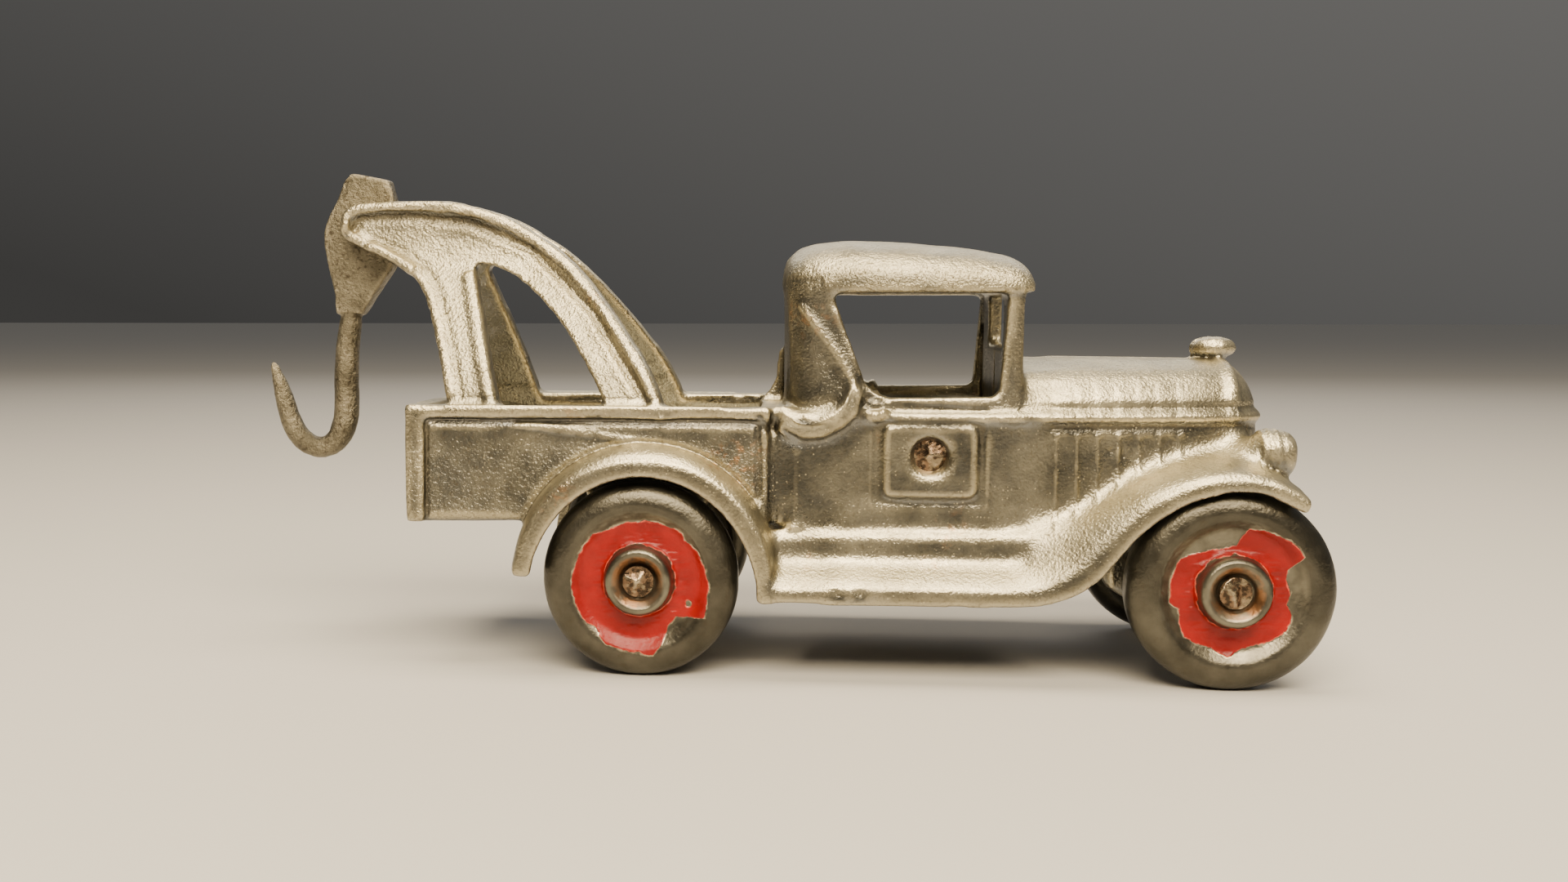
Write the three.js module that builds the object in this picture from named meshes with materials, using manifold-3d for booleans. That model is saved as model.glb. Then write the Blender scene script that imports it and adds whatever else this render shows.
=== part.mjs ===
// A cast-iron toy tow truck: two mirrored body castings clamped by one rivet, two peened axles,
// four cast wheels and a swinging tow hook. Millimetres, +X forward, +Z up, y = 0 on the seam.
// While it is built, x = 0 is over the rear axle. The finished group is moved so that x = 0 is mid-length.
import * as THREE from "three";
import { mergeVertices } from "three/addons/utils/BufferGeometryUtils.js";
import Module from "manifold-3d";

const wasm = await Module();
wasm.setup();

// ---- Driving dimensions ----
const wheelRadius = 12.7;
const wheelbase = 73.6;
const frontTip = wheelbase + wheelRadius;
const hookTip = -55.4;
const axleHeight = wheelRadius;
const axleRadius = 1.6;
const axleBore = 1.66;
const peenRadius = 1.95;

const seam = 0.05; // half the gap between the two castings
const wall = 2; // casting wall
const bodySide = 17; // half width of the cab and of the bed's side panels
const bedRim = 18; // half width over the bed's rim and corner ribs
const bedRimInner = 14.6;
const lipOuter = 21.9; // half width over the fender lips
const lipInner = 20.9;

const bedRear = -31;
const bedFront = 16.4;
const bedBottom = 19.6;
const rimTop = 34.8;
const rimBottom = 33.1;
const rearRibWidth = 2.4;
const frontRibWidth = 1.2;
const floorTop = 28;
const cabBack = 18;
const cabFront = 48.5;
const beltHeight = 34.2;
const roofEdge = 49.6;
const skirtBottom = 12;
const boardBottom = 10.2;
const underHoodCut = 18; // the hood has no skirt below this height

const doorProud = 0.25;
const doorSunk = 0.25;
const lampX = 80.4;
const lampOut = 13.9;
const lampZ = 29.2;

const wellRadius = 13.2; // room for a wheel inside a fender
const archRadius = 14.3; // the rear fender's hollow underside
const archX = 0.4;
const archZ = 12.9;
const wellInner = 13.9;
const hangerInner = 10.8;
const hangerOuter = 13.2;

const rivetX = 36.8;
const rivetZ = 28.7;
const rivetRadius = 1.6;
const rivetBore = 1.65;
const rivetPocket = 2.4;
const rivetHead = 2.3;
const rivetBoss = 3.6; // radius of the hollow post inside the cab that the rivet runs through

const pivotX = -40.9;
const pivotZ = 59.3;
const pegRadius = 1.3;
const pegBore = 1.36;
const hookHalfThickness = 1.5;
const slotHalfWidth = 1.9;
const webRear = -36.2; // the arms meet on the seam in front of this, and the hook's head stops against it

// ---- Solids and outlines ----
function solid(geometry) {
  const bare = geometry.clone();
  bare.deleteAttribute("normal");
  bare.deleteAttribute("uv");
  const merged = mergeVertices(bare, 1e-4);
  const triVerts = new Uint32Array(merged.index.array);
  const vertProperties = new Float32Array(merged.attributes.position.array);
  return new wasm.Manifold(new wasm.Mesh({ numProp: 3, vertProperties, triVerts }));
}

function geometryOf(body) {
  const mesh = body.getMesh();
  const geometry = new THREE.BufferGeometry();
  geometry.setAttribute("position", new THREE.BufferAttribute(new Float32Array(mesh.vertProperties), 3));
  geometry.setIndex(new THREE.BufferAttribute(new Uint32Array(mesh.triVerts), 1));
  geometry.computeVertexNormals();
  return geometry;
}

function join(...bodies) {
  return bodies.reduce((all, body) => all.add(body));
}

function polygon(points) {
  return new THREE.Shape(points.map(([a, b]) => new THREE.Vector2(a, b)));
}

// Points on a smooth curve through the given ones, `steps` of them between each pair.
function smooth(points, steps = 2) {
  const curve = new THREE.CatmullRomCurve3(points.map(([a, b]) => new THREE.Vector3(a, b, 0)));
  return curve.getPoints(steps * (points.length - 1)).map((p) => [p.x, p.y]);
}

function extrude(shape, depth) {
  return new THREE.ExtrudeGeometry(shape, { depth, bevelEnabled: false, curveSegments: 12 });
}

// An (x, z) outline between two distances out from the seam, on the right-hand side (y below 0).
function sidePlate(outline, inner, outer) {
  return solid(extrude(polygon(outline), outer - inner).rotateX(Math.PI / 2).translate(0, -inner, 0));
}

// A (distance out, z) outline pushed along x.
function crossPlate(outline, rear, front) {
  const shape = polygon(outline.map(([out, z]) => [-out, z]));
  const along = new THREE.Matrix4().makeBasis(
    new THREE.Vector3(0, 1, 0),
    new THREE.Vector3(0, 0, 1),
    new THREE.Vector3(1, 0, 0),
  );
  return solid(extrude(shape, front - rear).applyMatrix4(along).translate(rear, 0, 0));
}

// An (x, distance out) outline pushed upwards.
function planPlate(outline, low, high) {
  const shape = polygon(outline.map(([x, out]) => [x, -out]));
  return solid(extrude(shape, high - low).translate(0, 0, low));
}

function block(x0, x1, out0, out1, z0, z1) {
  const box = new THREE.BoxGeometry(x1 - x0, out1 - out0, z1 - z0);
  return solid(box.translate((x0 + x1) / 2, -(out0 + out1) / 2, (z0 + z1) / 2));
}

// A round bar across the truck.
function crossBar(x, z, radius, out0, out1, sides = 20) {
  const bar = new THREE.CylinderGeometry(radius, radius, out1 - out0, sides);
  return solid(bar.translate(x, -(out0 + out1) / 2, z));
}

// A skin over equal rings of [x, y, z] points, closed by a flat cap at each end.
function loft(rings) {
  const count = rings[0].length;
  const index = [];
  for (let i = 0; i + 1 < rings.length; i++) {
    for (let j = 0; j < count; j++) {
      const a = i * count + j;
      const b = i * count + ((j + 1) % count);
      index.push(a, b, b + count, a, b + count, a + count);
    }
  }
  index.push(...capIndex(rings[0], 0, true));
  index.push(...capIndex(rings.at(-1), (rings.length - 1) * count, false));
  const geometry = new THREE.BufferGeometry();
  geometry.setAttribute("position", new THREE.Float32BufferAttribute(rings.flat(2), 3));
  geometry.setIndex(index);
  const body = solid(geometry);
  return body.volume() > 0 ? body : solid(turnedInsideOut(geometry));
}

function turnedInsideOut(geometry) {
  const index = geometry.index.array;
  for (let i = 0; i < index.length; i += 3) {
    [index[i + 1], index[i + 2]] = [index[i + 2], index[i + 1]];
  }
  return geometry;
}

// One end cap of a loft, triangulated in the plane that shows the ring best.
function capIndex(ring, start, first) {
  const spans = [0, 1, 2].map((k) => {
    const values = ring.map((point) => point[k]);
    return Math.max(...values) - Math.min(...values);
  });
  const planes = [[1, 2], [2, 0], [0, 1]];
  const [a, b] = planes[spans.indexOf(Math.min(...spans))];
  const flat = ring.map((point) => new THREE.Vector2(point[a], point[b]));
  const flip = first !== THREE.ShapeUtils.isClockWise(flat);
  const triangles = THREE.ShapeUtils.triangulateShape(flat, []);
  const wound = triangles.map(([p, q, r]) => (flip ? [p, r, q] : [p, q, r]));
  return wound.flat().map((corner) => corner + start);
}

// ---- Outlines of the body ----
// Half width of the hood at the belt, tapering to the radiator.
const hoodSide = [
  [cabFront, 16.6],
  [54, 15.9],
  [61, 14.7],
  [69, 13.1],
  [75.5, 11.3],
  [78, 9.6],
  [79.3, 6.5],
  [79.7, seam],
];
const hoodWidth = (x) => {
  const next = hoodSide.findIndex(([at]) => at >= x);
  const [x0, w0] = hoodSide[Math.max(next - 1, 0)];
  const [x1, w1] = hoodSide[Math.max(next, 1)];
  return w0 + ((w1 - w0) * (x - x0)) / (x1 - x0);
};

// The lower body in plan, with a rounded rear corner, moved outwards or inwards by `grow`.
function lowerPlan(grow) {
  const nose = hoodSide.map(([x, out]) => [x + grow * (1 - out / bodySide), Math.max(out + grow, seam)]);
  return [
    [cabBack - grow, seam],
    [cabBack - grow, bodySide - 3],
    [cabBack + 0.9, bodySide - 0.9 + grow],
    [cabBack + 3, bodySide + grow],
    [cabFront - 3, bodySide + grow],
    ...smooth(nose, 2),
  ];
}

// The cab in plan between the belt and the roof: a broad round rear quarter.
function cabPlan(grow) {
  const quarter = [
    [cabBack - grow, 9.5],
    [cabBack + 0.5 - grow * 0.9, 12.4],
    [cabBack + 2.3 - grow * 0.6, 15 + grow * 0.6],
    [cabBack + 5.4, 16.5 + grow],
    [cabBack + 9, bodySide - 0.2 + grow],
  ];
  return [
    [cabBack - grow, seam],
    ...smooth(quarter, 2),
    [cabFront - 1, 16.6 + grow],
    [cabFront + grow, 15.8 + grow],
    [cabFront + grow, seam],
  ];
}

// Half of a domed cross-section from the seam's top down to the side, then straight in to the seam.
function domeRing(x, top, edge, halfWidth, fullness, steps = 8) {
  const ring = [[x, -seam, edge]];
  for (let i = 0; i <= steps; i++) {
    const angle = ((steps - i) / steps) * (Math.PI / 2);
    const out = halfWidth * Math.sin(angle) ** (2 / fullness);
    const rise = (top - edge) * Math.cos(angle) ** (2 / fullness);
    ring.push([x, -Math.max(out, seam), edge + rise]);
  }
  return ring;
}

// Roof stations: x, height on the seam, half width at the edge.
const roofStations = [
  [cabBack, 52.4, 10.4],
  [18.5, 53.9, 12.4],
  [20.2, 55.4, 14.9],
  [23.4, 56.2, 16.6],
  [29, 56.4, 17.4],
  [37.6, 55.8, 17.5],
  [45.6, 54.7, 17.2],
  [48.3, 53.8, 16.5],
  [49.4, 52.6, 15.4],
  [49.8, 51.2, 14],
];

function roof(inset) {
  const rings = roofStations
    .filter(([x]) => !inset || (x > 19 && x < 47))
    .map(([x, top, width]) => domeRing(x, top - inset, inset ? roofEdge - 1 : roofEdge, width - inset, 2.7));
  return loft(rings);
}

// Hood stations: x, height on the seam, half width at the belt.
const hoodStations = [
  [47, 41.0, 16.7],
  [54, 40.95, 15.9],
  [61, 40.9, 14.7],
  [69, 40.8, 13.1],
  [74.6, 40.7, 11.6],
  [76.4, 40.3, 11],
  [77.6, 39.3, 10.2],
  [78.7, 37.2, 8.9],
  [79.3, 35.2, 6.8],
];

function hood(inset) {
  const rings = hoodStations
    .filter(([x]) => !inset || x < 78)
    .map(([x, top, width]) => domeRing(x, top - inset, beltHeight - 1.2, width - inset, 2.5));
  return loft(rings);
}

// The raised band where the hood meets the radiator shell.
function radiatorBand() {
  const rings = [
    [74.7, 40.75, 11.7],
    [75, 41, 12],
    [75.8, 40.9, 11.8],
    [76.1, 40.5, 11.2],
  ].map(([x, top, width]) => domeRing(x, top, beltHeight - 1.2, width, 2.5));
  return loft(rings);
}

// ---- Fenders and running board ----
const boardProfile = [
  [lipOuter, 0],
  [21.5, 0.1],
  [20.5, 0.21],
  [19.4, 0.31],
  [18.7, 0.37],
  [18.1, 0.46],
  [17.8, 0.62],
  [17.85, 0.84],
  [17.6, 0.93],
  [16.6, 1],
];

// One section from the lip's lower edge, over the crown to the root on the body and back underneath.
// `crowned` is 0 on the stepped running board and 1 on a rounded fender.
function fenderRing({ low, top, root, rootOut, crowned, thickness }) {
  const ring = [[low[0], -lipOuter, low[1]]];
  boardProfile.forEach(([boardOut, boardRise], i) => {
    const angle = (i / (boardProfile.length - 1)) * (Math.PI / 2);
    const crownOut = rootOut + (lipOuter - rootOut) * Math.cos(angle);
    const out = THREE.MathUtils.lerp(boardOut, crownOut, crowned);
    const rise = THREE.MathUtils.lerp(boardRise, Math.sin(angle), crowned);
    const x = THREE.MathUtils.lerp(top[0], root[0], rise);
    const z = THREE.MathUtils.lerp(top[1], root[1], rise);
    ring.push([x, -out, z]);
  });
  const away = new THREE.Vector2(root[0] - low[0], root[1] - low[1]).normalize();
  const under = (point, depth, out) => [point[0] - away.x * depth, -out, point[1] - away.y * depth];
  ring.push(under(root, thickness, rootOut - 0.6));
  ring.push(under(top, THREE.MathUtils.lerp(-0.6, 0.1, crowned), THREE.MathUtils.lerp(16.2, 19, crowned)));
  ring.push(under(top, 0.6, lipInner - 0.4));
  ring.push([low[0], -lipInner, low[1]]);
  return ring;
}

// An arc over the rear wheel, from level behind it to just below level in front.
// Its lip spreads at both ends.
function rearFender() {
  const firstAngle = 179;
  const lastAngle = -10;
  const steps = 27;
  const rings = [];
  for (let i = 0; i <= steps; i++) {
    const angle = THREE.MathUtils.lerp(firstAngle, lastAngle, i / steps);
    const turn = THREE.MathUtils.degToRad(angle);
    const aside = Math.abs(angle - 90) / 90;
    const at = (radius) => [archX + radius * Math.cos(turn), archZ + radius * Math.sin(turn)];
    rings.push(
      fenderRing({
        low: at(13.2 + 1.4 * aside ** 3),
        top: at(14.65 + 1.6 * aside),
        root: at(17.2),
        rootOut: 16.4,
        crowned: 1,
        thickness: 1.9,
      }),
    );
  }
  return loft(rings);
}

// Running board and front fender, from the rear of the board to the fender's tip.
const boardStations = [
  { low: [16.4, 10.2], top: [16.4, 12], root: [16.4, 19.1], rootOut: 16.4, crowned: 0 },
  { low: [32, 10.3], top: [32, 12.05], root: [32, 19.2], rootOut: 16.4, crowned: 0 },
  { low: [47.5, 10.4], top: [46.8, 12.1], root: [45.2, 19.3], rootOut: 16.4, crowned: 0 },
  { low: [51.2, 10.8], top: [50.4, 12.3], root: [47.8, 19.5], rootOut: 16.2, crowned: 0.15 },
  { low: [54.7, 12.1], top: [54.1, 13.7], root: [50.9, 20.1], rootOut: 15.7, crowned: 0.45 },
  { low: [57.3, 14], top: [56.9, 15.8], root: [53.9, 20.9], rootOut: 15.3, crowned: 0.75 },
  { low: [59.2, 16.2], top: [58.8, 17.6], root: [56.4, 22.1], rootOut: 14.9, crowned: 0.95 },
  { low: [61.2, 18.7], top: [60.6, 19.9], root: [58.9, 23.7], rootOut: 14.5, crowned: 1 },
  { low: [64.1, 21.4], top: [63.4, 22.8], root: [62.3, 25.8], rootOut: 13.8, crowned: 1 },
  { low: [67.9, 23.7], top: [67.5, 25.1], root: [67, 27.7], rootOut: 12.9, crowned: 1 },
  { low: [71.8, 24.8], top: [71.7, 26.3], root: [71.6, 28.8], rootOut: 11.8, crowned: 1 },
  { low: [75.6, 24.9], top: [75.6, 26.3], root: [75.6, 28.9], rootOut: 10.8, crowned: 1 },
  { low: [78.6, 24], top: [79.1, 25.5], root: [79.4, 27.4], rootOut: 10, crowned: 1 },
  { low: [80.6, 22.9], top: [81.2, 24.5], root: [81.6, 25.8], rootOut: 10, crowned: 1 },
  { low: [81.6, 22.6], top: [82.1, 23.9], root: [82.4, 24.9], rootOut: 10.6, crowned: 1 },
];

// The stations with one more between each pair, on smooth curves through the given ones.
function betweenStations(stations) {
  const rows = stations.map(({ low, top, root, rootOut, crowned }) => {
    return [...low, ...top, ...root, rootOut, crowned];
  });
  const curves = rows[0].map((_, k) => smooth(rows.map((row, i) => [i, row[k]]), 2));
  return curves[0].map((_, i) => {
    const [lowX, lowZ, topX, topZ, rootX, rootZ, rootOut, crowned] = curves.map((curve) => curve[i][1]);
    return { low: [lowX, lowZ], top: [topX, topZ], root: [rootX, rootZ], rootOut, crowned };
  });
}

function boardAndFrontFender() {
  const stations = betweenStations(boardStations);
  return loft(stations.map((station) => fenderRing({ thickness: 1.9, ...station })));
}

// ---- Bed ----
function bed() {
  const sideInner = bodySide - wall;
  const side = block(bedRear, bedFront, sideInner, bodySide, bedBottom, rimTop);
  const rim = block(bedRear, bedFront, bedRimInner, bedRim, rimBottom, rimTop);
  const rearRib = block(bedRear, bedRear + rearRibWidth, sideInner, bedRim, bedBottom, rimTop);
  const frontRib = block(bedFront - frontRibWidth, bedFront, sideInner, bedRim - 0.3, bedBottom, rimTop);
  const tailboard = block(bedRear, bedRear + wall, seam, bodySide, bedBottom, rimTop);
  const tailRim = block(bedRear, bedRear + wall + 0.6, seam, bodySide, rimBottom, rimTop);
  const floor = block(bedRear, cabBack + 1, seam, bodySide - 1.2, floorTop - wall, floorTop);
  const joint = block(bedFront - 1, cabBack + 2, sideInner - 0.5, bodySide - 0.9, bedBottom, beltHeight);
  return join(side, rim, rearRib, frontRib, tailboard, tailRim, floor, joint);
}

// Casting fin on the seam where the bed meets the back of the cab.
function seamFin() {
  const outline = [
    [cabBack + 0.6, 42.2],
    [cabBack - 0.6, 41.8],
    [cabBack - 1, 38],
    [cabBack - 2, 36.2],
    [cabBack - 3.4, 34.6],
    [cabBack - 3.4, 33],
    [cabBack + 0.6, 33],
  ];
  const shelf = block(bedFront - 1.4, cabBack + 1, seam, bodySide - 0.6, rimBottom, rimTop);
  return join(sidePlate(outline, seam, 0.8), shelf);
}

// ---- Boom arm ----
const armTop = [
  [-41.4, 61.7],
  [-39.4, 62],
  [-34, 62.1],
  [-29.1, 62],
  [-24.6, 61.3],
  [-19.9, 59.7],
  [-15.2, 57.1],
  [-10.4, 53.5],
  [-5.6, 48.2],
  [-0.9, 41.9],
  [1.5, 37.7],
  [3.3, 33.4],
];
const armTip = [
  [-42.6, 61.1],
  [-43.3, 59.9],
  [-43.4, 58.5],
  [-42.9, 57.2],
];
const armUnder = [
  [-41.4, 56.3],
  [-38.5, 55],
  [-35.5, 53.6],
  [-32.9, 52],
  [-30.7, 49.3],
  [-28.8, 45],
  [-26.9, 39.6],
  [-25.3, 33.4],
];
const openingRear = [
  [-18.4, 33.4],
  [-20.3, 39.6],
  [-21.9, 45],
  [-23.3, 49.8],
  [-24.2, 52.6],
];
const openingTop = [
  [-24, 53.5],
  [-22, 53.4],
  [-18.5, 51.9],
  [-14.8, 49],
  [-11, 45],
  [-7.9, 40.6],
  [-5.4, 36.3],
  [-4.2, 33.4],
];

function armOutline() {
  const outline = [...smooth(armTop.toReversed(), 2), ...smooth(armTip, 1), ...smooth(armUnder, 2)];
  return [...outline, ...smooth(openingRear, 2), ...smooth(openingTop, 2)];
}

// The arm's sheet in the cross-section: upright near the seam at the top, leaning out to the bed's rim.
const armTopHalfWidth = 4.4;
const armFootThickness = 3;
const armLean = [
  [17.7, 33],
  [15, 39.6],
  [11.6, 45],
  [8.2, 49.7],
  [6.2, 52.6],
  [5, 55.3],
  [4.5, 58],
  [armTopHalfWidth, 63],
];

function armSheet(proud) {
  const outer = armLean.map(([out, z]) => [out + proud, z]);
  const inner = armLean.map(([out, z], i) => {
    const rise = i / (armLean.length - 1);
    return [out - THREE.MathUtils.lerp(armFootThickness, armTopHalfWidth - slotHalfWidth, rise), z];
  });
  return crossPlate([...smooth(outer, 2), ...smooth(inner, 2).toReversed()], -45, 5);
}

// A strip of even width along one side of a curve.
function strip(points, width) {
  const curve = smooth(points, 2);
  const edge = curve.map(([x, z], i) => {
    const [x0, z0] = curve[Math.max(i - 1, 0)];
    const [x1, z1] = curve[Math.min(i + 1, curve.length - 1)];
    const length = Math.hypot(x1 - x0, z1 - z0);
    return [x + (width * (z1 - z0)) / length, z - (width * (x1 - x0)) / length];
  });
  return [...curve, ...edge.toReversed()];
}

// The rib on the seam that joins the arms. Its rear edge stops the hook's head from swinging forwards,
// and it slopes away above the pivot to let the head's front corner pass when the hook swings back.
const webOutline = [
  [webRear, 54.4],
  [webRear, 57.9],
  [webRear + 0.9, 60.4],
  [-25.5, 60.6],
  [-18.5, 58],
  [-16.5, 55.6],
  [-19, 53.4],
  [-24, 54.6],
  [-31, 53.2],
];

function boomArm() {
  const plain = sidePlate(armOutline(), 0.5, 20).intersect(armSheet(0));
  const rimPath = [...armTop.toReversed(), ...armTip, ...armUnder.slice(0, 4)].toReversed();
  const rim = sidePlate(strip(rimPath, 1.3), 0.5, 20).intersect(armSheet(0.65));
  const legEdge = sidePlate(strip(openingRear.toReversed(), 1.5), 0.5, 20).intersect(armSheet(0.4));
  return join(plain, rim, legEdge, sidePlate(webOutline, seam, 2.6));
}

// ---- Details of the castings ----
function doorPad() {
  return block(31, 42.6, bodySide - 1, bodySide + doorProud, 23.5, 32.6);
}

function doorRecess() {
  return block(29.5, 43.8, bodySide - doorSunk, bodySide + 1, 22.2, rimBottom);
}

function louvres() {
  const count = 7;
  const first = 52.4;
  const pitch = 2.62;
  const radius = 0.5;
  const top = 31.3;
  const ribs = [];
  for (let i = 0; i < count; i++) {
    const x = first + pitch * i;
    const bottom = 19 + i; // the fender's root climbs forwards
    const rib = new THREE.CylinderGeometry(radius, radius, top - bottom, 8);
    rib.rotateX(Math.PI / 2);
    rib.translate(x, -(hoodWidth(x) - 0.2), (top + bottom) / 2);
    ribs.push(solid(rib));
  }
  return join(...ribs);
}

// A drum with a domed lens, on a swelling that runs into the fender and the radiator's side.
function headlamp() {
  const profile = [
    [0, -4.6],
    [1.8, -4.4],
    [2.9, -3],
    [3.2, -2.4],
    [3.25, -0.7],
    [3.1, -0.5],
    [3.1, 0.3],
    [2.7, 1.1],
    [1.7, 1.6],
    [0, 1.8],
  ];
  const lamp = new THREE.LatheGeometry(profile.map(([r, a]) => new THREE.Vector2(r, a)), 14);
  lamp.rotateZ(-Math.PI / 2).translate(lampX, -lampOut, lampZ);
  const swelling = new THREE.SphereGeometry(1, 14, 10);
  swelling.scale(3.6, 3.2, 3.8).translate(lampX - 3.4, -(lampOut - 1.4), lampZ - 1.8);
  const foot = block(lampX - 3, lampX + 0.4, lampOut - 2.7, lampOut + 2.3, 24.4, 27.4);
  return join(solid(lamp), solid(swelling), foot);
}

function radiatorCap() {
  const profile = [
    [0, 39.2],
    [1.9, 39.2],
    [1.8, 41],
    [2.7, 41.4],
    [3, 42.2],
    [2.6, 43],
    [1.6, 43.5],
    [0, 43.6],
  ];
  const cap = new THREE.LatheGeometry(profile.map(([r, z]) => new THREE.Vector2(r, z)), 16);
  cap.rotateX(Math.PI / 2).translate(75.2, 0, 0);
  return solid(cap).intersect(block(70, 80, seam, 5, 38, 45));
}

// Scroll moulding that ends the rounded rear quarter above the running board.
function rearScroll() {
  const path = [
    [18.4, 33],
    [20.6, 31.9],
    [23, 32.1],
    [25.2, 33.2],
    [26.6, 34.6],
    [27.2, 36.6],
  ];
  return sidePlate(strip(path, 1.3), bodySide - 1.5, bodySide + 0.7);
}

function axleHangers() {
  const rear = [
    [-9, 27],
    [-5, 11],
    [-3.5, 9.2],
    [3.5, 9.2],
    [5, 11],
    [9, 27],
  ];
  const front = [
    [57.4, 21],
    [59, 11.7],
    [63.5, 9.1],
    [77, 9.1],
    [79.4, 13],
    [79.6, 27],
    [68, 27.4],
  ];
  return join(sidePlate(rear, hangerInner, hangerOuter), sidePlate(front, hangerInner, hangerOuter));
}

function windowOpening() {
  const window = [
    [24.4, 49.3],
    [46.3, 49.3],
    [45.3, 37],
    [44.6, 36.2],
    [31.4, 36.1],
    [29.8, 36.6],
    [28.4, 38.2],
  ];
  return sidePlate(window, 10, 20);
}

function windscreenOpening() {
  const opening = [
    [seam - 1, 42.4],
    [7.2, 42.4],
    [8, 43.2],
    [8, 49.2],
    [seam - 1, 49.2],
  ];
  return crossPlate(opening, 44, 52);
}

// ---- The right-hand casting, and its mirror ----
function bodyHalf() {
  const outer = join(
    planPlate(lowerPlan(0), skirtBottom, beltHeight - 1),
    planPlate(lowerPlan(0.45), beltHeight - 1.1, beltHeight),
    planPlate(cabPlan(0), beltHeight - 0.6, roofEdge + 0.5),
    roof(0),
    hood(0),
    radiatorBand(),
    louvres(),
    rearScroll(),
  );
  const inner = join(
    planPlate(lowerPlan(-wall), -1, beltHeight),
    planPlate(cabPlan(-wall), beltHeight - 3, roofEdge),
    roof(wall),
    hood(wall),
  );
  const doored = outer.subtract(doorRecess()).add(doorPad());
  const underHood = block(cabFront + 3, 90, seam - 1, 30, -1, underHoodCut);
  const shell = doored.subtract(inner).subtract(underHood);
  const boss = crossBar(rivetX, rivetZ, rivetBoss, seam, bodySide - 0.5);
  const furnished = join(
    shell,
    boss,
    rearFender(),
    boardAndFrontFender(),
    bed(),
    seamFin(),
    boomArm(),
    headlamp(),
    radiatorCap(),
  );
  const wells = join(
    crossBar(0, axleHeight, wellRadius, wellInner, lipInner, 40),
    crossBar(wheelbase, axleHeight, wellRadius, wellInner, lipInner, 40),
    crossBar(archX, archZ, archRadius, wellInner, 20.3, 40),
    block(10, 30, seam, 30, -1, boardBottom),
  );
  const cuts = join(
    crossBar(0, axleHeight, axleBore, seam, 25),
    crossBar(wheelbase, axleHeight, axleBore, seam, 25),
    crossBar(rivetX, rivetZ, rivetBore, seam - 1, 25),
    crossBar(rivetX, rivetZ, rivetPocket, bodySide - 1.2, 25),
    windowOpening(),
    windscreenOpening(),
    block(-60, 100, -30, seam, -5, 80),
  );
  return furnished.subtract(wells).add(axleHangers()).subtract(cuts);
}

function mirrored(body) {
  const geometry = geometryOf(body).scale(1, -1, 1);
  return solid(turnedInsideOut(geometry));
}

// ---- Turned and cast loose pieces ----
function latheAcross(profile, segments) {
  return new THREE.LatheGeometry(profile.map(([r, y]) => new THREE.Vector2(r, y)), segments);
}

const axleHalfLength = 22.1;

// A pin along y whose two ends are beaten out into low heads.
function pinProfile(halfLength, radius, headRadius, headThickness) {
  const underHead = halfLength - headThickness;
  const half = [
    [radius, underHead],
    [headRadius, underHead + 0.1],
    [headRadius, halfLength - 0.4],
    [headRadius * 0.6, halfLength],
    [0, halfLength],
  ];
  const other = half.toReversed().map(([r, y]) => [r, -y]);
  return [...other, ...half];
}

// Distance out from the seam against radius, round the wheel's section.
const wheelProfile = [
  [axleBore, 13.6],
  [4.2, 13.6],
  [4.6, 15.5],
  [9.4, 15.6],
  [10.2, 14.9],
  [11.2, 14.8],
  [12.2, 15.6],
  [wheelRadius, 17.2],
  [wheelRadius, 18.8],
  [12.4, 20],
  [11.7, 20.8],
  [10.8, 21.2],
  [9.9, 20.9],
  [9.2, 20],
  [5, 19.6],
  [4.5, 20.2],
  [4.2, 22],
  [3.9, 22.3],
  [3.5, 22.3],
  [2.5, 21.4],
  [2.3, 20.9],
  [axleBore, 20.9],
  [axleBore, 13.6],
];

function wheelGeometry(side) {
  const profile = wheelProfile.map(([r, out]) => [r, side * out]);
  return latheAcross(side > 0 ? profile : profile.toReversed(), 30);
}

// Hook: a six-sided head plate that runs down into a round, tapering hook.
const headOutline = [
  [-42.7, 66.2],
  [-37.5, 65.2],
  [-36.7, 62.4],
  [webRear - 0.1, 57.6],
  [-37.1, 53.2],
  [-39.9, 49.2],
  [-41.6, 46.6],
  [-45.1, 46.6],
  [-45.3, 49.4],
  [-46, 52.3],
  [-46.7, 56.2],
  [-46.7, 58.2],
  [-45.8, 60.7],
  [-44.6, 62.7],
  [-43.8, 65],
];
// Centre line of the shank and hook with its radius.
const hookLine = [
  [-42.9, 49, 1.45],
  [-43.5, 45.5, 1.6],
  [-44.1, 41, 1.7],
  [-44.3, 36.5, 1.75],
  [-44.35, 33, 1.8],
  [-45, 30, 1.75],
  [-46.3, 28.2, 1.6],
  [-48.3, 27.5, 1.55],
  [-50.5, 28.3, 1.55],
  [-52.1, 30.3, 1.5],
  [-53.1, 33, 1.4],
  [-53.9, 36, 1.15],
  [-54.6, 38.2, 0.75],
  [-55.1, 39.7, 0.25],
];

function hookShank(sides = 12) {
  const rings = hookLine.map(([x, z, radius], i) => {
    const [x0, z0] = hookLine[Math.max(i - 1, 0)];
    const [x1, z1] = hookLine[Math.min(i + 1, hookLine.length - 1)];
    const length = Math.hypot(x1 - x0, z1 - z0);
    const across = [(z1 - z0) / length, -(x1 - x0) / length];
    const ring = [];
    for (let k = 0; k < sides; k++) {
      const angle = (k / sides) * Math.PI * 2;
      const reach = radius * Math.cos(angle);
      ring.push([x + across[0] * reach, radius * Math.sin(angle), z + across[1] * reach]);
    }
    return ring;
  });
  return loft(rings);
}

function towHook() {
  const head = sidePlate(headOutline, -hookHalfThickness, hookHalfThickness);
  const bore = crossBar(pivotX, pivotZ, pegBore, -5, 5);
  return head.add(hookShank()).subtract(bore);
}

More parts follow.
